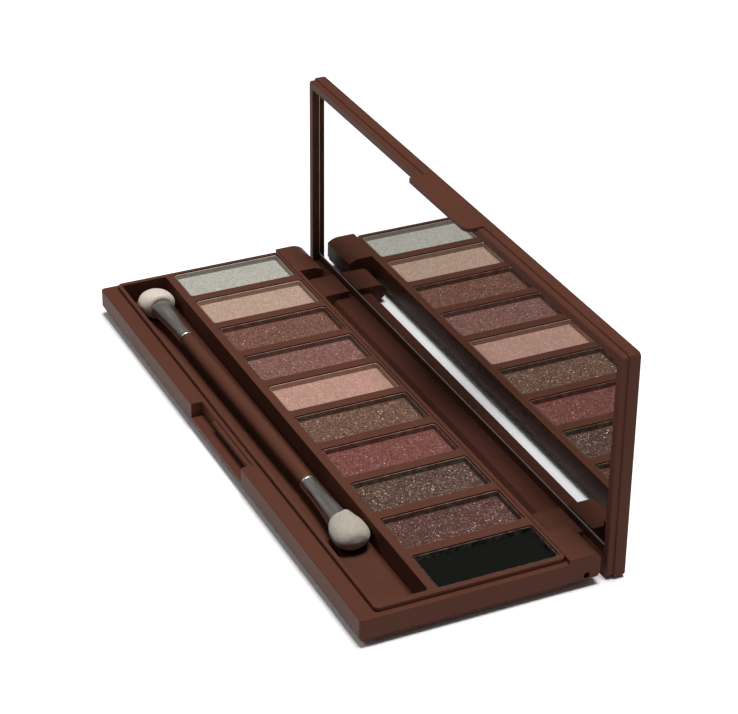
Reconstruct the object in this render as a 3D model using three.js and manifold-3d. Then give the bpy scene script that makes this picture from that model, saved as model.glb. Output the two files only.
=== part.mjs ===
import * as THREE from "three";
import { mergeVertices } from "three/addons/utils/BufferGeometryUtils.js";
import Module from "manifold-3d";

// Slim hinged compact for ten pressed powders, standing open, with a two-ended sponge applicator.
// Millimetres, +Z up. Drawn from the front left corner of the base, then centred over its footprint.

const LENGTH = 165;
const DEPTH = 58.8;
const SKIRT_Z = 2.3;
const BAND_Z = 7.4;
const DECK_Z = 8.55;
const TRAY_INSET = 0.8;
const TRAY_Z = 0.8;
const TRAY_Y1 = 51.4;
const FOOT_INSET = 6;
const FOOT_Y1 = 50.4;
const FLOOR_Z = 1.4;

const HINGE_Y = 55.4;
const HINGE_Z = 3.3;
const CHEEK_R = 5.25;
const TONGUE_R = 2.3;
const PIN_R = 0.75;
const PIN_BORE_R = 0.8;
const FAR_PIN = [1.5, 24];
const NEAR_PIN = [143, 163.5];

const LID_OPEN_DEG = 90;
const LID_FRONT_Y = 0.95;
const LID_REAR_Y = 58.5;
const LID_RIM_Z = 8.85;
const LID_THICK = 4.56;
const LID_LIP_TALL = 1.55;
const LID_LIP_INSET = 0.45;
const LID_SIDE_RIM = 2.5;
const LID_RIM_Y = 55.05;
const LEDGE_Z = 5.3;
const LEDGE_TOE_Y = 57.5;
const LEDGE_TOE_Z = 3.9;
const MIRROR_Y1 = 53;
const MIRROR_RECESS = 1.74;
const MIRROR_THICK = 1.2;
const TAPE_THICK = 0.25;

const TAB_X0 = 66.6;
const TAB_X1 = 97.8;
const TAB_THICK = 0.95;
const TAB_DROP = 3.1;
const NOTCH_X0 = 66.2;
const NOTCH_X1 = 98.3;
const NOTCH_DEEP = 3.0;
const NOTCH_FLOOR_Z = 3.5;

const INSERT_X0 = 1.65;
const INSERT_Y0 = 4.3;
const INSERT_Y1 = 50.6;
const INSERT_Z0 = 1.7;
const POCKET_GAP = 0.25;
const TROUGH_X0 = 2.95;
const TROUGH_Y0 = 5.0;
const TROUGH_Y1 = 17.5;
const TROUGH_FLOOR_Z = 2.6;
const TROUGH_PAD_X0 = 142.5;
const TROUGH_PAD_Z = 2.9;

const PAN_COUNT = 10;
const PAN_PITCH = 16.25;
const PAN_OPEN_X = 13.45;
const PAN_Y0 = 19.64;
const PAN_Y1 = 49.94;
const PAN_POCKET_Z = 4.4;
const PAN_CORNER = 0.9;
const PAN_WALL = 0.3;
const PAN_FIT = 0.15;
const PAN_TOP_Z = 8.35;
const POWDER_TOP_Z = 7.3;
const POWDER_FIT = 0.12;
const GLUE_THICK = 0.35;

const FAR_SLOT = [14.5, 26.1];
const NEAR_SLOT = [140.8, 152.8];
const TONGUE_GAP = 0.5;
const REAR_WALL_Y = 52;

const APPLICATOR_X = 71;
const APPLICATOR_Y = 12.1;
const APPLICATOR_Z = 6.2;
const APPLICATOR_TURN_DEG = 0.5;
const HANDLE_HALF = 37.2;
const HANDLE_R = 1.85;
const TENON_R = 0.8;
const TENON_END = 58.5;
const FERRULE_START = 37.5;
const FERRULE_LONG = 18.5;
const SPONGE_START = 53.5;
const SPONGE_END = 65.6;

const POWDER_COLOURS = [
  0xcdcdc3, 0xbe9b82, 0x7d5546, 0x785555, 0xd7a591,
  0x826955, 0x91504b, 0x6e5a50, 0x785550, 0x161918,
];

const wasm = await Module();
wasm.setup();

const plastic = new THREE.MeshStandardMaterial({ color: 0x5a3a30, roughness: 0.42, metalness: 0 });
const insertPlastic = new THREE.MeshStandardMaterial({ color: 0x5e3c32, roughness: 0.45, metalness: 0 });
const panMetal = new THREE.MeshStandardMaterial({ color: 0xc4c0b8, roughness: 0.3, metalness: 1 });
const glue = new THREE.MeshStandardMaterial({ color: 0xd8d4c4, roughness: 0.6, metalness: 0 });
const steel = new THREE.MeshStandardMaterial({ color: 0x9a9a9a, roughness: 0.3, metalness: 1 });
const silvered = new THREE.MeshStandardMaterial({ color: 0xe6e8ea, roughness: 0.03, metalness: 1 });
const tape = new THREE.MeshStandardMaterial({ color: 0xf2f2ee, roughness: 0.8, metalness: 0 });
const handlePlastic = new THREE.MeshStandardMaterial({ color: 0x5c3a30, roughness: 0.3, metalness: 0 });
const smokedMetal = new THREE.MeshStandardMaterial({ color: 0x8d857f, roughness: 0.25, metalness: 0.9 });
const foam = new THREE.MeshStandardMaterial({ color: 0xc8c0b4, roughness: 0.95, metalness: 0 });

function solid(geometry) {
  const bare = geometry.clone();
  bare.deleteAttribute("normal");
  bare.deleteAttribute("uv");
  const merged = mergeVertices(bare, 1e-4);
  return new wasm.Manifold(new wasm.Mesh({
    numProp: 3,
    vertProperties: new Float32Array(merged.attributes.position.array),
    triVerts: new Uint32Array(merged.index.array),
  }));
}

function geometryOf(body) {
  const mesh = body.getMesh();
  const geometry = new THREE.BufferGeometry();
  geometry.setAttribute("position", new THREE.BufferAttribute(new Float32Array(mesh.vertProperties), 3));
  geometry.setIndex(new THREE.BufferAttribute(new Uint32Array(mesh.triVerts), 1));
  geometry.computeVertexNormals();
  return geometry;
}

function roundedRect(x0, x1, y0, y1, r) {
  const shape = new THREE.Shape();
  shape.moveTo(x0 + r, y0);
  shape.lineTo(x1 - r, y0);
  shape.absarc(x1 - r, y0 + r, r, -Math.PI / 2, 0, false);
  shape.lineTo(x1, y1 - r);
  shape.absarc(x1 - r, y1 - r, r, 0, Math.PI / 2, false);
  shape.lineTo(x0 + r, y1);
  shape.absarc(x0 + r, y1 - r, r, Math.PI / 2, Math.PI, false);
  shape.lineTo(x0, y0 + r);
  shape.absarc(x0 + r, y0 + r, r, Math.PI, 1.5 * Math.PI, false);
  return shape;
}

// A plate with rounded corners in plan, between two heights, with optional rounded edges.
function plate(x0, x1, y0, y1, z0, z1, r, edge = 0, steps = 2) {
  const shape = roundedRect(x0 + edge, x1 - edge, y0 + edge, y1 - edge, r - edge);
  const geometry = new THREE.ExtrudeGeometry(shape, {
    depth: z1 - z0 - 2 * edge,
    bevelEnabled: edge > 0,
    bevelThickness: edge,
    bevelSize: edge,
    bevelSegments: steps,
    curveSegments: 4,
  });
  geometry.translate(0, 0, z0 + edge);
  return geometry;
}

function box(x0, x1, y0, y1, z0, z1) {
  const geometry = new THREE.BoxGeometry(x1 - x0, y1 - y0, z1 - z0);
  geometry.translate((x0 + x1) / 2, (y0 + y1) / 2, (z0 + z1) / 2);
  return geometry;
}

// A side profile given as (y, z) points, carried along X from x0 to x1.
function alongX(points, x0, x1) {
  const shape = new THREE.Shape(points.map(([y, z]) => new THREE.Vector2(y, z)));
  const geometry = new THREE.ExtrudeGeometry(shape, { depth: x1 - x0, bevelEnabled: false });
  const turn = new THREE.Matrix4().makeBasis(
    new THREE.Vector3(0, 1, 0),
    new THREE.Vector3(0, 0, 1),
    new THREE.Vector3(1, 0, 0),
  );
  geometry.applyMatrix4(turn);
  geometry.translate(x0, 0, 0);
  return geometry;
}

function rodX(radius, x0, x1, y, z, sides = 24) {
  const geometry = new THREE.CylinderGeometry(radius, radius, x1 - x0, sides);
  geometry.rotateZ(-Math.PI / 2);
  geometry.translate((x0 + x1) / 2, y, z);
  return geometry;
}

function arc(cy, cz, r, fromDeg, toDeg, steps) {
  const points = [];
  for (let i = 0; i <= steps; i += 1) {
    const a = THREE.MathUtils.degToRad(fromDeg + ((toDeg - fromDeg) * i) / steps);
    points.push([cy + r * Math.cos(a), cz + r * Math.sin(a)]);
  }
  return points;
}

const kit = new THREE.Group();
kit.position.set(-LENGTH / 2, -(HINGE_Y + LID_RIM_Z + LID_THICK - HINGE_Z) / 2, 0);

function piece(name, geometry, material, parent = kit) {
  const mesh = new THREE.Mesh(geometry, material);
  mesh.name = name;
  parent.add(mesh);
  return mesh;
}

// Cheeks at both ends: flat at deck height, then falling round the hinge axis to the rear face.
function cheek(x0, x1) {
  const end = THREE.MathUtils.radToDeg(Math.acos((DEPTH - HINGE_Y) / CHEEK_R));
  const points = [
    [50.85, SKIRT_Z],
    [DEPTH - 0.8, SKIRT_Z],
    [DEPTH, SKIRT_Z + 0.8],
    ...arc(HINGE_Y, HINGE_Z, CHEEK_R, end, 90, 8),
    [50.85, DECK_Z],
  ];
  return solid(alongX(points, x0, x1));
}

// Between the cheeks the case ends in a thin upright wall whose foot is cut back at a slant.
function rearWall(x0, x1) {
  const points = [
    [50.85, SKIRT_Z], [51.35, SKIRT_Z], [REAR_WALL_Y, SKIRT_Z + 1.3], [REAR_WALL_Y, DECK_Z - 0.35],
    [REAR_WALL_Y - 0.1, DECK_Z - 0.1], [REAR_WALL_Y - 0.35, DECK_Z], [50.85, DECK_Z],
  ];
  return solid(alongX(points, x0, x1));
}

function buildBase() {
  let body = solid(plate(0, LENGTH, 0, DEPTH, SKIRT_Z, BAND_Z, 1, 0.4, 3));
  body = body.add(cheek(0, FAR_SLOT[0]));
  body = body.add(cheek(NEAR_SLOT[1], LENGTH));
  body = body.subtract(solid(box(FAR_SLOT[0], NEAR_SLOT[1], 51, 70, -1, 12)));
  body = body.add(rearWall(FAR_SLOT[0] - 1, NEAR_SLOT[1] + 1));
  body = body.add(solid(plate(
    TRAY_INSET, LENGTH - TRAY_INSET, TRAY_INSET, TRAY_Y1, TRAY_Z, SKIRT_Z + 0.5, 1, 0.2, 1,
  )));
  body = body.add(solid(plate(
    FOOT_INSET, LENGTH - FOOT_INSET, FOOT_INSET, FOOT_Y1, 0, TRAY_Z + 0.4, 1.5, 0.3, 1,
  )));
  body = body.subtract(solid(plate(
    INSERT_X0 - POCKET_GAP, LENGTH - INSERT_X0 + POCKET_GAP,
    INSERT_Y0 - POCKET_GAP, INSERT_Y1 + POCKET_GAP, FLOOR_Z, 12, 1,
  )));
  body = body.subtract(solid(box(NOTCH_X0, NOTCH_X1, -5, NOTCH_DEEP, NOTCH_FLOOR_Z, 12)));
  body = body.add(solid(box(75, NOTCH_X1, 2.35, NOTCH_DEEP + 0.2, 5.7, 6.9)));
  body = body.subtract(solid(rodX(PIN_BORE_R, -1, FAR_SLOT[0] + 1, HINGE_Y, HINGE_Z)));
  body = body.subtract(solid(rodX(PIN_BORE_R, NEAR_SLOT[1] - 1, LENGTH + 1, HINGE_Y, HINGE_Z)));
  return geometryOf(body);
}

function panX(index) {
  const row = (PAN_COUNT - 1) * PAN_PITCH + PAN_OPEN_X;
  return (LENGTH - row) / 2 + index * PAN_PITCH;
}

function buildInsert() {
  let body = solid(plate(
    INSERT_X0, LENGTH - INSERT_X0, INSERT_Y0, INSERT_Y1, INSERT_Z0, DECK_Z, 0.9, 0.15, 1,
  ));
  body = body.subtract(solid(plate(
    TROUGH_X0, LENGTH - TROUGH_X0, TROUGH_Y0, TROUGH_Y1, TROUGH_FLOOR_Z, 12, 0.8,
  )));
  body = body.add(solid(box(
    TROUGH_PAD_X0, LENGTH - TROUGH_X0 + 0.2, TROUGH_Y0 - 0.1, 12.8, 2.2, TROUGH_PAD_Z,
  )));
  for (let i = 0; i < PAN_COUNT; i += 1) {
    const x = panX(i);
    body = body.subtract(solid(plate(
      x, x + PAN_OPEN_X, PAN_Y0, PAN_Y1, PAN_POCKET_Z, 12, PAN_CORNER,
    )));
  }
  return geometryOf(body);
}

function buildPan(x) {
  const f = PAN_FIT;
  const w = PAN_FIT + PAN_WALL;
  const z = PAN_POCKET_Z + GLUE_THICK + 0.2;
  const outer = solid(plate(
    x + f, x + PAN_OPEN_X - f, PAN_Y0 + f, PAN_Y1 - f, z, PAN_TOP_Z, PAN_CORNER - f,
  ));
  const inner = solid(plate(
    x + w, x + PAN_OPEN_X - w, PAN_Y0 + w, PAN_Y1 - w, z + PAN_WALL, 12, PAN_CORNER - w,
  ));
  return geometryOf(outer.subtract(inner));
}

function buildPowder(x) {
  const f = PAN_FIT + PAN_WALL + POWDER_FIT;
  const z = PAN_POCKET_Z + GLUE_THICK + 0.2 + PAN_WALL + 0.1;
  return plate(x + f, x + PAN_OPEN_X - f, PAN_Y0 + f, PAN_Y1 - f, z, POWDER_TOP_Z, 0.5, 0.2, 1);
}

function buildGlue(x) {
  const z = PAN_POCKET_Z + 0.1;
  return box(x + 2.5, x + PAN_OPEN_X - 2.5, PAN_Y0 + 4, PAN_Y1 - 4, z, z + GLUE_THICK);
}

// The lid is drawn closed, outer face up, and turned about the hinge axis by its group.
const lid = new THREE.Group();
lid.position.set(0, HINGE_Y, HINGE_Z);
lid.rotation.x = THREE.MathUtils.degToRad(-LID_OPEN_DEG);
kit.add(lid);

function aboutHinge(geometry) {
  geometry.translate(0, -HINGE_Y, -HINGE_Z);
  return geometry;
}

// A hinge tongue: it hangs from the lid's rear rim and ends in a round knuckle with a blind pin bore.
function tongue(x0, x1, boreX0, boreX1) {
  const top = LID_RIM_Z + 0.6;
  const points = [
    ...arc(HINGE_Y, HINGE_Z, TONGUE_R, 180, 360, 12),
    [HINGE_Y + TONGUE_R, top],
    [HINGE_Y - TONGUE_R, top],
  ];
  const body = solid(alongX(points, x0, x1));
  return body.subtract(solid(rodX(PIN_BORE_R, boreX0, boreX1, HINGE_Y, HINGE_Z)));
}

// Between the tongues the rear rim reaches further down, with a slanted inner face, and closes the case.
function ledge(x0, x1) {
  const top = LID_RIM_Z + 0.6;
  const rear = LID_REAR_Y;
  return solid(alongX([
    [LID_RIM_Y, top], [LID_RIM_Y, LEDGE_Z + 0.2], [LID_RIM_Y + 0.15, LEDGE_Z - 0.05],
    [LEDGE_TOE_Y, LEDGE_TOE_Z], [rear - 0.3, LEDGE_TOE_Z], [rear, LEDGE_TOE_Z + 0.3], [rear, top + 1.5],
  ], x0, x1));
}

function buildLid() {
  const top = LID_RIM_Z + LID_THICK;
  const step = LID_RIM_Z + LID_LIP_TALL;
  const lip = LID_LIP_INSET;
  let body = solid(plate(0, LENGTH, LID_FRONT_Y, LID_REAR_Y, step, top, 1.2, 0.4, 2));
  body = body.add(solid(plate(
    lip, LENGTH - lip, LID_FRONT_Y + lip, LID_REAR_Y - lip, LID_RIM_Z, step + 1, 1, 0.2, 1,
  )));
  body = body.subtract(solid(plate(
    LID_SIDE_RIM, LENGTH - LID_SIDE_RIM, LID_FRONT_Y + LID_SIDE_RIM, MIRROR_Y1,
    -5, LID_RIM_Z + MIRROR_RECESS + MIRROR_THICK + TAPE_THICK + 0.15, 0.6,
  )));
  body = body.subtract(solid(plate(
    LID_SIDE_RIM, LENGTH - LID_SIDE_RIM, LID_FRONT_Y + LID_SIDE_RIM, LID_RIM_Y,
    -5, LID_RIM_Z + MIRROR_RECESS + 0.2, 0.6,
  )));
  const tab = new THREE.Shape();
  const tipZ = LID_RIM_Z - TAB_DROP;
  tab.moveTo(TAB_X0, step + 0.3);
  tab.lineTo(TAB_X0, tipZ + 1.4);
  tab.absarc(TAB_X0 + 1.4, tipZ + 1.4, 1.4, Math.PI, 1.5 * Math.PI, false);
  tab.lineTo(TAB_X1 - 2.2, tipZ);
  tab.absarc(TAB_X1 - 2.2, tipZ + 2.2, 2.2, 1.5 * Math.PI, 2 * Math.PI, false);
  tab.lineTo(TAB_X1, step + 0.3);
  const tabBody = new THREE.ExtrudeGeometry(tab, { depth: TAB_THICK, bevelEnabled: false, curveSegments: 6 });
  tabBody.rotateX(Math.PI / 2);
  tabBody.translate(0, LID_FRONT_Y + TAB_THICK + 0.02, 0);
  body = body.add(solid(tabBody));
  body = body.add(ledge(FAR_SLOT[0] + TONGUE_GAP, NEAR_SLOT[1] - TONGUE_GAP));
  body = body.add(tongue(FAR_SLOT[0] + TONGUE_GAP, FAR_SLOT[1] - TONGUE_GAP, FAR_SLOT[0], FAR_PIN[1] + 0.3));
  body = body.add(tongue(
    NEAR_SLOT[0] + TONGUE_GAP, NEAR_SLOT[1] - TONGUE_GAP, NEAR_PIN[0] - 0.3, NEAR_SLOT[1],
  ));
  return aboutHinge(geometryOf(body));
}

function mirrorPlate(gap, z0, z1) {
  return aboutHinge(plate(
    LID_SIDE_RIM + gap, LENGTH - LID_SIDE_RIM - gap,
    LID_FRONT_Y + LID_SIDE_RIM + gap, MIRROR_Y1 - gap, z0, z1, 0.5,
  ));
}

// One end of the applicator is drawn along +X; the other is the same piece turned half round.
function latheX(points, sides) {
  const geometry = new THREE.LatheGeometry(points.map(([x, r]) => new THREE.Vector2(r, x)), sides);
  geometry.rotateZ(-Math.PI / 2);
  return geometry;
}

function flatten(geometry, xStart, xEnd, factor) {
  const position = geometry.attributes.position;
  for (let i = 0; i < position.count; i += 1) {
    const t = THREE.MathUtils.clamp((position.getX(i) - xStart) / (xEnd - xStart), 0, 1);
    position.setZ(i, position.getZ(i) * (1 + (factor - 1) * t));
  }
  return geometry;
}

function buildHandle() {
  const half = [
    [TENON_END, 0], [TENON_END, TENON_R], [HANDLE_HALF, TENON_R], [HANDLE_HALF, HANDLE_R - 0.15],
    [HANDLE_HALF - 0.3, HANDLE_R], [HANDLE_HALF - 20, HANDLE_R + 0.1],
  ];
  const other = half.map(([x, r]) => [-x, r]).reverse();
  return latheX([...half, ...other].reverse(), 20);
}

function buildFerrule() {
  const outer = [[0, 1.75], [0.5, 1.95], [5, 2.0], [10, 2.2], [14, 2.5], [17, 2.8], [FERRULE_LONG, 2.95]];
  const inner = outer.map(([x, r]) => [x, r - 0.4]).reverse();
  const ring = [...outer, ...inner, outer[0]].map(([x, r]) => [FERRULE_START + x, r]);
  return flatten(latheX(ring, 24), FERRULE_START, FERRULE_START + FERRULE_LONG, 0.8);
}

function buildSponge() {
  const profile = [
    [TENON_END + 0.4, 0], [TENON_END + 0.4, 1.25], [SPONGE_START, 1.25], [SPONGE_START, 1.65],
    [56.2, 1.75], [56.5, 2.7], [57.2, 3.4], [58.4, 4.1], [60.2, 4.5], [62.2, 4.35],
    [64.0, 3.4], [65.1, 1.9], [SPONGE_END, 0],
  ];
  return flatten(latheX(profile, 24), 56.0, 58.5, 0.68);
}

piece("base_shell", buildBase(), plastic);
piece("pan_deck", buildInsert(), insertPlastic);
for (let i = 0; i < PAN_COUNT; i += 1) {
  const label = String(i + 1).padStart(2, "0");
  const powder = new THREE.MeshStandardMaterial({ color: POWDER_COLOURS[i], roughness: 0.7, metalness: 0.2 });
  piece(`glue_pad_${label}`, buildGlue(panX(i)), glue);
  piece(`pan_${label}`, buildPan(panX(i)), panMetal);
  piece(`powder_${label}`, buildPowder(panX(i)), powder);
}
piece("hinge_pin_left", rodX(PIN_R, ...FAR_PIN, HINGE_Y, HINGE_Z), steel);
piece("hinge_pin_right", rodX(PIN_R, ...NEAR_PIN, HINGE_Y, HINGE_Z), steel);

const glassZ = LID_RIM_Z + MIRROR_RECESS;
piece("lid_shell", buildLid(), plastic, lid);
piece("mirror", mirrorPlate(0.2, glassZ, glassZ + MIRROR_THICK), silvered, lid);
piece(
  "mirror_tape",
  mirrorPlate(2, glassZ + MIRROR_THICK + 0.05, glassZ + MIRROR_THICK + TAPE_THICK),
  tape, lid,
);

const applicator = new THREE.Group();
applicator.position.set(APPLICATOR_X, APPLICATOR_Y, APPLICATOR_Z);
applicator.rotation.z = THREE.MathUtils.degToRad(APPLICATOR_TURN_DEG);
kit.add(applicator);
piece("applicator_handle", buildHandle(), handlePlastic, applicator);
for (const [side, turn] of [["right", 0], ["left", Math.PI]]) {
  piece(`ferrule_${side}`, buildFerrule(), smokedMetal, applicator).rotation.z = turn;
  piece(`sponge_${side}`, buildSponge(), foam, applicator).rotation.z = turn;
}

export default kit;
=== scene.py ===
import math

import bmesh
import bpy
from mathutils import Matrix, Vector, noise


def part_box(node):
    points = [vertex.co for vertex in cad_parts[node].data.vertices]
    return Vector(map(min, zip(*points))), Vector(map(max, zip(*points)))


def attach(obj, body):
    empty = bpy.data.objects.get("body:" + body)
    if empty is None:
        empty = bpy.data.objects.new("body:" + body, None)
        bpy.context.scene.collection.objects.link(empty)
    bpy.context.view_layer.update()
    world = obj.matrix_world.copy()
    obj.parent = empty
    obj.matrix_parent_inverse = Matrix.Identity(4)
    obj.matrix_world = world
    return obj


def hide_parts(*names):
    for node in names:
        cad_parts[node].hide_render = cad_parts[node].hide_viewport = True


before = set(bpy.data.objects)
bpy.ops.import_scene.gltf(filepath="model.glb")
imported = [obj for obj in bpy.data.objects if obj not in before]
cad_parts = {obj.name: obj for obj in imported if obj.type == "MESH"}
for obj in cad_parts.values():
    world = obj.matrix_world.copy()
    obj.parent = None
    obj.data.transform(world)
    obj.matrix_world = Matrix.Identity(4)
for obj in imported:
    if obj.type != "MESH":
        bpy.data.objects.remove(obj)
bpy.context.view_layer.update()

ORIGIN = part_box("base_shell")[0]
MM = 0.001


def at(x, y, z):
    """A point given in millimetres from the front left bottom corner of the case."""
    return Vector((ORIGIN.x + x * MM, ORIGIN.y + y * MM, ORIGIN.z + z * MM))


def local(node):
    """A node's box in millimetres from the same corner."""
    low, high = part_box(node)
    return (low - ORIGIN) / MM, (high - ORIGIN) / MM


# ---------------------------------------------------------------- camera

camera_data = bpy.data.cameras.new("camera")
camera_data.sensor_width = 36.0
camera_data.lens = 114.76
camera_data.clip_start = 0.01
camera_data.clip_end = 50.0
camera = bpy.data.objects.new("camera", camera_data)
bpy.context.scene.collection.objects.link(camera)
camera.rotation_euler = [math.radians(a) for a in (60.3456, -0.5236, 64.895)]
camera.location = at(532.61, -173.27, 303.37)
bpy.context.scene.camera = camera
bpy.context.scene.view_settings.view_transform = "Standard"

# ---------------------------------------------------------------- material helpers


class Graph:
    """A node material on one Principled shader."""

    def __init__(self, name, **settings):
        self.material = bpy.data.materials.new(name)
        self.material.use_nodes = True
        self.tree = self.material.node_tree
        self.shader = self.tree.nodes["Principled BSDF"]
        for key, value in settings.items():
            self.shader.inputs[key.replace("_", " ")].default_value = value
        self.where = self.add("ShaderNodeTexCoord").outputs["Object"]

    def add(self, kind, **settings):
        node = self.tree.nodes.new(kind)
        for key, value in settings.items():
            setattr(node, key, value)
        return node

    def link(self, source, target):
        self.tree.links.new(source, target)

    def feed(self, socket, value):
        if isinstance(value, bpy.types.NodeSocket):
            self.link(value, socket)
        else:
            socket.default_value = value

    def noise(self, scale, detail=3.0, rough=0.5, stretch=None):
        node = self.add("ShaderNodeTexNoise")
        node.inputs["Scale"].default_value = scale
        node.inputs["Detail"].default_value = detail
        node.inputs["Roughness"].default_value = rough
        where = self.where
        if stretch:
            mapping = self.add("ShaderNodeMapping")
            mapping.inputs["Scale"].default_value = stretch
            self.link(where, mapping.inputs["Vector"])
            where = mapping.outputs["Vector"]
        self.link(where, node.inputs["Vector"])
        return node.outputs["Fac"]

    def cells(self, scale):
        node = self.add("ShaderNodeTexVoronoi", feature="F1")
        node.inputs["Scale"].default_value = scale
        self.link(self.where, node.inputs["Vector"])
        return node

    def span(self, value, low, high, to_low=0.0, to_high=1.0):
        node = self.add("ShaderNodeMapRange")
        self.feed(node.inputs["Value"], value)
        for key, number in (("From Min", low), ("From Max", high), ("To Min", to_low), ("To Max", to_high)):
            node.inputs[key].default_value = number
        return node.outputs["Result"]

    def calc(self, kind, a, b):
        node = self.add("ShaderNodeMath", operation=kind)
        self.feed(node.inputs[0], a)
        self.feed(node.inputs[1], b)
        return node.outputs[0]

    def mix(self, factor, a, b):
        node = self.add("ShaderNodeMix", data_type="RGBA")
        self.feed(node.inputs[0], factor)
        self.feed(node.inputs[6], a)
        self.feed(node.inputs[7], b)
        return node.outputs[2]

    def bump(self, height, distance, strength, normal=None):
        node = self.add("ShaderNodeBump")
        node.inputs["Strength"].default_value = strength
        node.inputs["Distance"].default_value = distance
        self.link(height, node.inputs["Height"])
        if normal:
            self.link(normal, node.inputs["Normal"])
        return node.outputs["Normal"]

    def set(self, name, value):
        self.feed(self.shader.inputs[name], value)


def rgb(r, g, b):
    """Linear colour from 0-255 display values."""
    out = []
    for c in (r, g, b):
        c = c / 255
        out.append(c / 12.92 if c <= 0.04045 else ((c + 0.055) / 1.055) ** 2.4)
    return (*out, 1.0)


def tint(colour, factor):
    return tuple(min(1.0, c * factor) for c in colour[:3]) + (1.0,)


def moulded_plastic(name, colour, rough, wear_and_highlight):
    g = Graph(name, IOR=1.48, Specular_IOR_Level=0.05)
    cloud = g.noise(55, 4)
    body = g.mix(g.span(cloud, 0.3, 0.7), tint(colour, 0.95), tint(colour, 1.05))
    speck = g.span(g.noise(900, 2), 0.62, 0.78)
    body = g.mix(g.calc("MULTIPLY", speck, 0.25), body, tint(colour, 1.7))
    # Rounded edges are lightened towards a pale tint: partly edge wear, partly a painted highlight along the
    # edges.
    edge = g.add("ShaderNodeAttribute", attribute_name="edge").outputs["Fac"]
    patchy = g.span(g.noise(240, 3), 0.35, 0.65, 0.15, 1.0)
    wear_and_highlight_mask = g.calc("MULTIPLY", g.calc("MULTIPLY", edge, patchy), 0.55 * wear_and_highlight)
    g.set("Base Color", g.mix(wear_and_highlight_mask, body, tint(colour, 2.6)))
    smear = g.span(g.noise(38, 5, 0.6), 0.3, 0.7, rough - 0.03, rough + 0.04)
    g.set("Roughness", g.calc("ADD", smear, g.calc("MULTIPLY", wear_and_highlight_mask, 0.15)))
    grain = g.bump(g.noise(2600, 2), 0.00002, 0.5)
    g.set("Normal", g.bump(g.noise(140, 3), 0.00012, 0.35, grain))
    return g.material


def pan_metal(name, dust):
    """Pressed sheet, dulled by the powder that has been rubbed into it."""
    g = Graph(name, Metallic=0.6)
    streak = g.noise(420, 4, 0.6, (0.25, 1.0, 1.0))
    dusty = g.span(g.noise(700, 3), 0.3, 0.6, 0.45, 0.9)
    bare = g.mix(streak, rgb(110, 96, 86), rgb(168, 156, 146))
    g.set("Base Color", g.mix(dusty, bare, tint(dust, 0.85)))
    g.set("Roughness", g.span(streak, 0.3, 0.7, 0.32, 0.5))
    g.set("Normal", g.bump(streak, 0.00003, 0.5))
    return g.material


def pressed_powder(name, colour, glint, pearl, grain, dull):
    """Pressed powder: fine matte grain, a pearl sheen and small mica flakes that tilt at random."""
    g = Graph(name, IOR=1.4, Specular_IOR_Level=0.15)
    fine = g.noise(2700, 2, 0.6)
    cloud = g.noise(150, 4, 0.6)
    flakes = g.cells(3500)
    tilt = g.add("ShaderNodeVectorMath", operation="SUBTRACT")
    g.link(flakes.outputs["Color"], tilt.inputs[0])
    tilt.inputs[1].default_value = (0.5, 0.5, 0.5)
    reach = g.add("ShaderNodeVectorMath", operation="SCALE")
    g.link(tilt.outputs[0], reach.inputs[0])
    reach.inputs["Scale"].default_value = 0.8 * grain
    facing = g.add("ShaderNodeNewGeometry").outputs["Normal"]
    lean = g.add("ShaderNodeVectorMath", operation="ADD")
    g.link(facing, lean.inputs[0])
    g.link(reach.outputs[0], lean.inputs[1])
    unit = g.add("ShaderNodeVectorMath", operation="NORMALIZE")
    g.link(lean.outputs[0], unit.inputs[0])
    split = g.add("ShaderNodeSeparateColor")
    g.link(flakes.outputs["Color"], split.inputs[0])
    mica = g.span(split.outputs[0], 1.0 - glint, 1.0 - glint + 0.08)
    pale = tuple(0.62 * c * (1 + 0.9 * grain) + 0.10 * grain for c in colour[:3]) + (1.0,)
    body = g.mix(g.span(cloud, 0.3, 0.7), tint(colour, 0.93), tint(colour, 1.07))
    body = g.mix(g.span(fine, 0.36, 0.62), tint(colour, 1.0 - 0.62 * grain), body)
    body = g.mix(g.span(fine, 0.56, 0.72), body, tint(colour, 1.0 + 0.8 * grain))
    body = g.mix(g.calc("MULTIPLY", mica, 0.42), body, pale)
    g.set("Base Color", body)
    g.set("Metallic", g.span(mica, 0.0, 1.0, pearl, min(1.0, pearl + 0.25)))
    g.set("Roughness", g.span(mica, 0.0, 1.0, dull, 0.36))
    g.set("Normal", g.bump(fine, 0.00005, 0.4, unit.outputs[0]))
    return g.material


def silvered_glass(name):
    """Silvered in the flat; along the bevelled edge it is matt and painted near-white, a painted highlight
    for the bright line on that edge.
    """
    g = Graph(name)
    edge = g.add("ShaderNodeAttribute", attribute_name="edge").outputs["Fac"]
    silver = g.mix(g.noise(30, 2), rgb(226, 228, 228), rgb(230, 232, 232))
    # Near-white matt colour on the bevel: a painted highlight for the edge's bright line.
    painted_edge_highlight = g.mix(g.noise(900, 3), rgb(236, 236, 230), rgb(254, 254, 250))
    g.set("Base Color", g.mix(edge, silver, painted_edge_highlight))
    g.set("Metallic", g.span(edge, 0.0, 1.0, 1.0, 0.0))
    smudge = g.span(g.noise(45, 6, 0.65), 0.52, 0.8, 0.004, 0.04)
    g.set("Roughness", g.calc("ADD", smudge, g.calc("MULTIPLY", edge, 0.35)))
    return g.material


def smoked_metal(name):
    g = Graph(name, Metallic=1.0)
    streak = g.noise(900, 4, 0.6, (0.12, 1.0, 1.0))
    g.set("Base Color", g.mix(streak, rgb(196, 188, 182), rgb(228, 222, 216)))
    g.set("Roughness", g.span(streak, 0.3, 0.7, 0.24, 0.36))
    g.set("Normal", g.bump(streak, 0.00003, 0.4))
    return g.material


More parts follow.
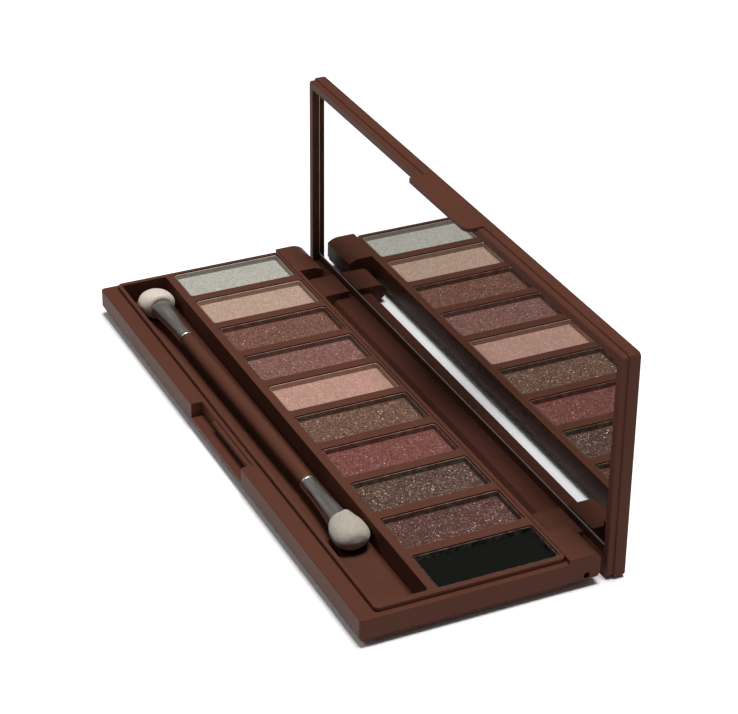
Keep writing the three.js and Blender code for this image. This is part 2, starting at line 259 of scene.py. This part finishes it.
def bare_steel(name):
    g = Graph(name, Metallic=1.0)
    streak = g.noise(700, 4, 0.6, (0.1, 1.0, 1.0))
    g.set("Base Color", g.mix(streak, rgb(78, 76, 74), rgb(112, 110, 108)))
    g.set("Roughness", g.span(streak, 0.3, 0.7, 0.34, 0.5))
    g.set("Normal", g.bump(streak, 0.00002, 0.4))
    return g.material


def foam_rubber(name, painted_light_tone):
    g = Graph(name, Sheen_Weight=0.2, Subsurface_Weight=0.1, Subsurface_Scale=0.0015)
    fine = g.noise(2600, 3, 0.65)
    soft = g.noise(300, 4, 0.6)
    # The colour is scaled by a per-tip factor that paints light or shade onto that tip.
    body = g.mix(g.span(soft, 0.3, 0.7), tint(rgb(168, 159, 145), painted_light_tone), tint(rgb(184, 176, 163), painted_light_tone))
    body = g.mix(g.span(fine, 0.25, 0.6), tint(rgb(152, 142, 126), painted_light_tone), body)
    g.set("Base Color", body)
    g.set("Roughness", g.span(fine, 0.3, 0.7, 0.98, 0.9))
    g.set("Normal", g.bump(fine, 0.00008, 0.35, g.bump(soft, 0.0003, 0.3)))
    return g.material


def adhesive(name, colour):
    g = Graph(name)
    g.set("Base Color", g.mix(g.noise(300, 3), tint(colour, 0.85), tint(colour, 1.1)))
    g.set("Roughness", g.span(g.noise(260, 3), 0.3, 0.7, 0.45, 0.75))
    g.set("Normal", g.bump(g.noise(500, 3), 0.0001, 0.4))
    return g.material


BROWN = rgb(79, 47, 37)
shell_plastic = moulded_plastic("shell_plastic", BROWN, rough=0.4, wear_and_highlight=1.3)
deck_plastic = moulded_plastic("deck_plastic", rgb(78, 47, 37), rough=0.45, wear_and_highlight=1.0)
handle_plastic = moulded_plastic("handle_plastic", rgb(79, 48, 38), rough=0.27, wear_and_highlight=0.4)
mirror_glass = silvered_glass("mirror_glass")
ferrule_metal = smoked_metal("ferrule_metal")
pin_steel = bare_steel("pin_steel")
mounting_tape = adhesive("mounting_tape", rgb(226, 224, 216))
glue = adhesive("adhesive", rgb(206, 200, 180))
# The two tips are the same foam; the left is painted lighter and the right darker for how the light falls on
# each: painted light and painted shade.
sponge_foam = {
    "left": foam_rubber("sponge_foam_left", painted_light_tone=1.22),
    "right": foam_rubber("sponge_foam_right", painted_light_tone=0.8),
}

# Each powder: colour, share of bright flakes, pearl, grain, roughness between flakes.
POWDERS = [
    (rgb(168, 165, 155), 0.16, 0.20, 0.36, 0.55),
    (rgb(174, 147, 130), 0.18, 0.25, 0.42, 0.55),
    (rgb(114, 77, 64), 0.26, 0.25, 0.80, 0.58),
    (rgb(123, 86, 78), 0.26, 0.25, 0.75, 0.58),
    (rgb(174, 136, 122), 0.18, 0.25, 0.42, 0.55),
    (rgb(107, 78, 64), 0.28, 0.28, 0.85, 0.58),
    (rgb(115, 69, 62), 0.26, 0.25, 0.75, 0.58),
    (rgb(89, 65, 55), 0.30, 0.28, 0.90, 0.58),
    (rgb(87, 58, 51), 0.28, 0.26, 0.80, 0.58),
    (rgb(9, 11, 8), 0.0, 0.0, 0.30, 0.9),
]

# ---------------------------------------------------------------- mesh helpers


def new_object(name, mesh, material, body, replaced):
    mesh.materials.clear()
    mesh.materials.append(material)
    made = bpy.data.objects.new(name, mesh)
    bpy.context.scene.collection.objects.link(made)
    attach(made, body)
    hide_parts(replaced)
    return made


def repaint(node, material):
    """Another material for a CAD piece whose shape stays as it is."""
    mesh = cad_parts[node].data
    mesh.materials.clear()
    mesh.materials.append(material)


def smooth(mesh, degrees=32):
    for face in mesh.polygons:
        face.use_smooth = True
    mesh.set_sharp_from_angle(angle=math.radians(degrees))


# The weld distance is in metres and the wall's depth in millimetres.
WELD_DISTANCE = 2e-6
FLAT_ANGLE = math.radians(0.6)
SHARP_ANGLE = math.radians(40)
OUTER_WALL_DEPTH = 0.2


def softened(node, name, material, body, radius, grow=0.0):
    """The CAD part's own faces, cleaned of triangulation and with every sharp edge rounded over.

    grow pushes the outermost walls out, in millimetres, to close a fitting gap to a thin seam."""
    source = bmesh.new()
    source.from_mesh(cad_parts[node].data)
    bmesh.ops.remove_doubles(source, verts=source.verts, dist=WELD_DISTANCE)
    bmesh.ops.dissolve_limit(
        source, angle_limit=FLAT_ANGLE, verts=source.verts, edges=source.edges,
    )
    if grow:
        low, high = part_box(node)
        for vert in source.verts:
            for axis in (0, 1):
                if vert.co[axis] - low[axis] < OUTER_WALL_DEPTH * MM:
                    vert.co[axis] -= grow * MM
                elif high[axis] - vert.co[axis] < OUTER_WALL_DEPTH * MM:
                    vert.co[axis] += grow * MM
    layer = source.faces.layers.float.new("edge")
    sharp = [e for e in source.edges if e.is_manifold and e.calc_face_angle(0) > SHARP_ANGLE]
    made = bmesh.ops.bevel(
        source, geom=sharp, offset=radius * MM, segments=2, profile=0.5,
        affect="EDGES", clamp_overlap=True, loop_slide=True,
    )
    # The rounded-over faces carry the edge mask; the plastic lightens them, partly as wear and partly as a
    # painted highlight.
    for face in made["faces"]:
        face[layer] = 1.0
    mesh = bpy.data.meshes.new(name)
    source.to_mesh(mesh)
    source.free()
    smooth(mesh)
    piece = new_object(name, mesh, material, body, node)
    normals = piece.modifiers.new("even_normals", "WEIGHTED_NORMAL")
    normals.keep_sharp = True


def rounded_loop(x0, x1, y0, y1, r, z, corner=6):
    """One closed loop of points round a rectangle with rounded corners."""
    points = []
    centres = ((x1 - r, y0 + r, -90), (x1 - r, y1 - r, 0), (x0 + r, y1 - r, 90), (x0 + r, y0 + r, 180))
    for cx, cy, start in centres:
        for i in range(corner + 1):
            a = math.radians(start + 90 * i / corner)
            points.append(at(cx + r * math.cos(a), cy + r * math.sin(a), z))
    return points


def loft(name, loops, ring=False):
    """Quads between closed loops of equal length; ring joins the last to the first, else both are capped."""
    work = bmesh.new()
    rows = [[work.verts.new(p) for p in loop] for loop in loops]
    pairs = list(zip(rows, rows[1:])) + ([(rows[-1], rows[0])] if ring else [])
    for low, high in pairs:
        for i in range(len(low)):
            j = (i + 1) % len(low)
            work.faces.new((low[i], low[j], high[j], high[i]))
    if not ring:
        work.faces.new(list(reversed(rows[0])))
        work.faces.new(rows[-1])
    bmesh.ops.recalc_face_normals(work, faces=work.faces)
    mesh = bpy.data.meshes.new(name)
    work.to_mesh(mesh)
    work.free()
    return mesh


# ---------------------------------------------------------------- case and lid

softened("base_shell", "base_case", shell_plastic, "base", radius=0.16)
softened("pan_deck", "deck_insert", deck_plastic, "base", radius=0.08, grow=0.19)
softened("lid_shell", "lid_case", shell_plastic, "lid", radius=0.2)

MIRROR_BEVEL_WIDTH = 0.65
MIRROR_BEVEL_DEPTH = 0.16
MIRROR_CORNER = 0.7


def build_mirror():
    """A glass plate with a narrow, shallow bevel round its face."""
    low, high = local("mirror")
    steps = ((0.0, high.y), (0.0, low.y + MIRROR_BEVEL_DEPTH), (MIRROR_BEVEL_WIDTH, low.y))
    loops = []
    for inset, y in steps:
        flat = rounded_loop(
            low.x + inset, high.x - inset, low.z + inset, high.z - inset, MIRROR_CORNER, 0,
        )
        # The loop is drawn lying flat and then stood up, so its depth becomes height.
        loops.append([Vector((p.x, at(0, y, 0).y, p.y - ORIGIN.y + ORIGIN.z)) for p in flat])
    mesh = loft("bevelled_mirror", loops)
    # The bevel and side faces carry the edge mask, which the glass paints near-white as a highlight.
    edge = mesh.attributes.new("edge", "FLOAT", "FACE")
    side_faces = (len(loops) - 1) * len(loops[0])
    for index in range(side_faces):
        edge.data[index].value = 1.0
    new_object("bevelled_mirror", mesh, mirror_glass, "lid", "mirror")


build_mirror()
for end in ("left", "right"):
    repaint(f"hinge_pin_{end}", pin_steel)
repaint("mirror_tape", mounting_tape)

# ---------------------------------------------------------------- pans and powders

PAN_WALL = 0.3
PAN_CORNER = 0.75
PAN_LEAST_CORNER = 0.2

POWDER_CORNER = 0.45
POWDER_GRID = 0.5
POWDER_EDGE_WIDTH = 0.36
POWDER_EDGE_DROP = 0.2
POWDER_RELIEF = 0.045
PATTERN_STRIDE = 7.3
# Height and frequency of each wave in a powder's top.
POWDER_WAVES = ((0.035, 0.35), (0.018, 1.6))


def build_pan(index):
    """A drawn metal tin with a rounded foot, a rolled rim and a dished inside."""
    node = f"pan_{index:02d}"
    low, high = local(node)
    steps = (
        (0.25, low.z), (0.07, low.z + 0.07), (0.0, low.z + 0.25),
        (0.0, high.z - 0.12), (0.04, high.z - 0.03), (0.12, high.z), (0.2, high.z),
        (PAN_WALL - 0.03, high.z - 0.05), (PAN_WALL, high.z - 0.14), (PAN_WALL, low.z + 0.7),
        (PAN_WALL + 0.1, low.z + 0.45), (PAN_WALL + 0.35, low.z + 0.31),
    )
    loops = []
    for inset, z in steps:
        corner = max(PAN_LEAST_CORNER, PAN_CORNER - inset)
        loops.append(
            rounded_loop(low.x + inset, high.x - inset, low.y + inset, high.y - inset, corner, z)
        )
    mesh = loft(f"tin_{index:02d}", loops)
    smooth(mesh, 50)
    metal = pan_metal(f"pan_metal_{index:02d}", POWDERS[index - 1][0])
    new_object(f"tin_{index:02d}", mesh, metal, "base", node)


def stations(size):
    """Distances across a powder's top: close together at the edges, evenly spaced between them."""
    edge = [0.0, 0.04, 0.1, 0.2, POWDER_EDGE_WIDTH]
    middle = size - 2 * edge[-1]
    count = round(middle / POWDER_GRID)
    inner = [edge[-1] + middle * i / count for i in range(1, count)]
    return edge + inner + [size - v for v in reversed(edge)]


def drawn_into_corner(u, v, wide, deep):
    """Moves a point in the square corner of a powder's top onto the rounded corner."""
    cx = min(max(u, POWDER_CORNER), wide - POWDER_CORNER)
    cy = min(max(v, POWDER_CORNER), deep - POWDER_CORNER)
    if u == cx or v == cy:
        return u, v
    off = math.hypot(u - cx, v - cy)
    square = max(abs(u - cx), abs(v - cy))
    return cx + (u - cx) * square / off, cy + (v - cy) * square / off


def build_powder(index):
    """Pressed powder with a softly rounded edge and a slightly uneven top."""
    node = f"powder_{index:02d}"
    low, high = local(node)
    wide, deep = high.x - low.x, high.y - low.y
    xs, ys = stations(wide), stations(deep)
    work = bmesh.new()
    grid = []
    for u in xs:
        line = []
        for v in ys:
            px, py = drawn_into_corner(u, v, wide, deep)
            fade = min(1.0, min(u, wide - u, v, deep - v) / POWDER_EDGE_WIDTH)
            drop = POWDER_EDGE_DROP * (1 - fade) ** 2
            spot = Vector((low.x + px, low.y + py, index * PATTERN_STRIDE))
            wave = sum(height * noise.noise(spot * pace) for height, pace in POWDER_WAVES)
            z = high.z - POWDER_RELIEF - drop + min(POWDER_RELIEF, wave * fade)
            line.append(work.verts.new(at(low.x + px, low.y + py, z)))
        grid.append(line)
    for i in range(len(xs) - 1):
        for j in range(len(ys) - 1):
            work.faces.new((grid[i][j], grid[i + 1][j], grid[i + 1][j + 1], grid[i][j + 1]))
    border = [e for e in work.edges if e.is_boundary]
    skirt = bmesh.ops.extrude_edge_only(work, edges=border)
    lower = [v for v in skirt["geom"] if isinstance(v, bmesh.types.BMVert)]
    floor_z = at(0, 0, low.z).z
    for vert in lower:
        vert.co.z = floor_z
    rim_edges = [e for e in work.edges if e.is_boundary]
    bmesh.ops.contextual_create(work, geom=rim_edges)
    bmesh.ops.recalc_face_normals(work, faces=work.faces)
    mesh = bpy.data.meshes.new(f"pressed_{index:02d}")
    work.to_mesh(mesh)
    work.free()
    smooth(mesh, 60)
    colour, glint, pearl, grain, dull = POWDERS[index - 1]
    material = pressed_powder(f"powder_{index:02d}", colour, glint, pearl, grain, dull)
    new_object(f"pressed_{index:02d}", mesh, material, "base", node)


for number in range(1, 11):
    build_pan(number)
    build_powder(number)
    repaint(f"glue_pad_{number:02d}", glue)

# ---------------------------------------------------------------- applicator

APPLICATOR = Matrix.Translation(at(71, 12.1, 6.2)) @ Matrix.Rotation(math.radians(0.5), 4, "Z")
HANDLE_SIDES = 48
HEAD_SIDES = 56

# Profiles are (distance from the applicator's middle, radius), in millimetres.
HANDLE = [
    (-58.5, 0.8), (-37.5, 0.8), (-37.35, 1.55), (-37.2, 1.72), (-36.95, 1.82), (-36.6, 1.85),
    (-17.2, 1.95), (17.2, 1.95),
    (36.6, 1.85), (36.95, 1.82), (37.2, 1.72), (37.35, 1.55), (37.5, 0.8), (58.5, 0.8),
]
FERRULE = [
    (37.52, 1.8), (37.7, 1.93), (38.0, 1.95), (38.35, 1.95), (38.5, 1.86), (38.7, 1.86), (38.85, 1.96),
    (42.5, 2.0), (47.5, 2.2), (51.5, 2.5), (54.5, 2.8), (55.7, 2.93), (55.95, 2.9),
]
FERRULE_WALL = 0.38
HEADS = {
    "right": [
        (53.5, 1.25), (53.55, 1.6), (56.05, 1.75), (56.25, 3.05), (56.7, 3.35), (57.6, 3.7), (59.2, 4.25),
        (61.2, 4.45), (62.8, 4.4), (64.0, 3.85), (64.9, 2.8), (65.3, 1.5), (65.5, 0.3),
    ],
    "left": [
        (53.5, 1.25), (53.55, 1.6), (56.05, 1.75), (56.2, 3.0), (56.6, 3.75), (57.4, 4.35), (58.7, 4.75),
        (60.3, 4.75), (61.9, 4.3), (63.3, 3.4), (64.4, 2.2), (64.95, 1.1), (65.1, 0.3),
    ],
}

# Each squash is where the flattening starts, where it is complete, and the share of height left.
FERRULE_SQUASH = (37.5, 56.0, 0.8)
HEAD_SQUASH = (56.0, 58.5, 0.68)
HEAD_LUMPS = 0.02

# The wedge-like head: the core and the part before the root stay, and one cheek leans back.
WEDGE_CORE = 2.9
WEDGE_ROOT = 56.1
WEDGE_TIP = 65.6
WEDGE_FADE = 9.0
WEDGE_HALF_WIDTH = 4.5
WEDGE_PULL = 2.4


def curve_through(points, per):
    """A smooth run of (x, r) points through the given ones."""
    out = []
    for i in range(len(points) - 1):
        p0 = points[max(0, i - 1)]
        p1, p2 = points[i], points[i + 1]
        p3 = points[min(len(points) - 1, i + 2)]
        for k in range(per):
            t = k / per
            out.append(tuple(
                0.5 * (
                    2 * b + (c - a) * t + (2 * a - 5 * b + 4 * c - d) * t * t
                    + (3 * b - a - 3 * c + d) * t ** 3
                )
                for a, b, c, d in zip(p0, p1, p2, p3)
            ))
    out.append(points[-1])
    return out


def turned(name, profile, sides, place, squash=None, ring=False, lumps=0.0):
    """A shape turned about the applicator's axis, flattened by squash and made uneven by lumps."""
    loops = []
    for x, r in profile:
        factor = 1.0
        if squash:
            start, end, least = squash
            factor = 1 + (least - 1) * min(1.0, max(0.0, (x - start) / (end - start)))
        loop = []
        for k in range(sides):
            a = 2 * math.pi * k / sides
            y, z = math.cos(a) * r, math.sin(a) * r * factor
            if lumps:
                bulge = 1 + lumps * noise.noise(Vector((x, y, z)) * 0.45)
                y, z = y * bulge, z * bulge
            loop.append(place @ (Vector((x, y, z)) * MM))
        loops.append(loop)
    mesh = loft(name, loops, ring=ring)
    smooth(mesh, 40)
    return mesh


def drawn_back(mesh, place):
    """One cheek of the sponge reaches back over its collar, which gives a slanted, wedge-like head."""
    home = place.inverted()
    for vert in mesh.vertices:
        p = home @ vert.co / MM
        if math.hypot(p.y, p.z / HEAD_SQUASH[2]) < WEDGE_CORE or p.x < WEDGE_ROOT:
            continue
        fade = max(0.0, min(1.0, (WEDGE_TIP - p.x) / WEDGE_FADE))
        pull = max(0.0, p.y / WEDGE_HALF_WIDTH) * WEDGE_PULL * fade
        vert.co = place @ (Vector((p.x - pull, p.y, p.z)) * MM)
    mesh.update()


new_object(
    "applicator_grip", turned("applicator_grip", HANDLE, HANDLE_SIDES, APPLICATOR),
    handle_plastic, "applicator", "applicator_handle",
)

outside = curve_through(FERRULE, 3)
inside = [(x, r - FERRULE_WALL) for x, r in reversed(outside)]
for side, turn in (("right", 0.0), ("left", math.pi)):
    place = APPLICATOR @ Matrix.Rotation(turn, 4, "Z")
    name = f"crimped_ferrule_{side}"
    tube = turned(name, outside + inside, HEAD_SIDES, place, FERRULE_SQUASH, ring=True)
    new_object(name, tube, ferrule_metal, "applicator", f"ferrule_{side}")
    name = f"foam_tip_{side}"
    head = curve_through(HEADS[side], 4)
    foam = turned(name, head, HEAD_SIDES, place, HEAD_SQUASH, lumps=HEAD_LUMPS)
    rubber = sponge_foam[side]
    tip = new_object(name, foam, rubber, "applicator", f"sponge_{side}")
    if side == "right":
        drawn_back(foam, place)

# ---------------------------------------------------------------- surroundings

# Both in metres.
FLOOR_HALF_SIZE = 3.0
FLOOR_GAP = 0.00005

g = Graph("studio_floor")
g.set("Base Color", g.mix(g.noise(6, 2), rgb(248, 248, 247), rgb(251, 251, 250)))
g.set("Roughness", g.span(g.noise(40, 2), 0.3, 0.7, 0.85, 0.95))
work = bmesh.new()
bmesh.ops.create_grid(work, x_segments=8, y_segments=8, size=FLOOR_HALF_SIZE)
floor_mesh = bpy.data.meshes.new("floor")
work.to_mesh(floor_mesh)
work.free()
floor_mesh.materials.append(g.material)
floor = bpy.data.objects.new("floor", floor_mesh)
floor.location.z = -FLOOR_GAP
bpy.context.scene.collection.objects.link(floor)

sun_data = bpy.data.lights.new("overhead", "SUN")
sun_data.energy = 4.0
sun_data.angle = math.radians(22)
sun = bpy.data.objects.new("overhead", sun_data)
sun.rotation_euler = Vector((0.03, 0.07, 1.0)).to_track_quat("Z", "Y").to_euler()
bpy.context.scene.collection.objects.link(sun)

glow_data = bpy.data.lights.new("front_glow", "AREA")
glow_data.size = 0.35
glow_data.energy = 1.5
glow = bpy.data.objects.new("front_glow", glow_data)
glow.location = (-0.25, -0.65, 0.75)
glow.rotation_euler = (-glow.location).to_track_quat("-Z", "Y").to_euler()
bpy.context.scene.collection.objects.link(glow)

world = bpy.data.worlds.new("studio")
world.use_nodes = True
background = world.node_tree.nodes["Background"]
background.inputs["Color"].default_value = (1, 1, 1, 1)
background.inputs["Strength"].default_value = 0.12
bpy.context.scene.world = world
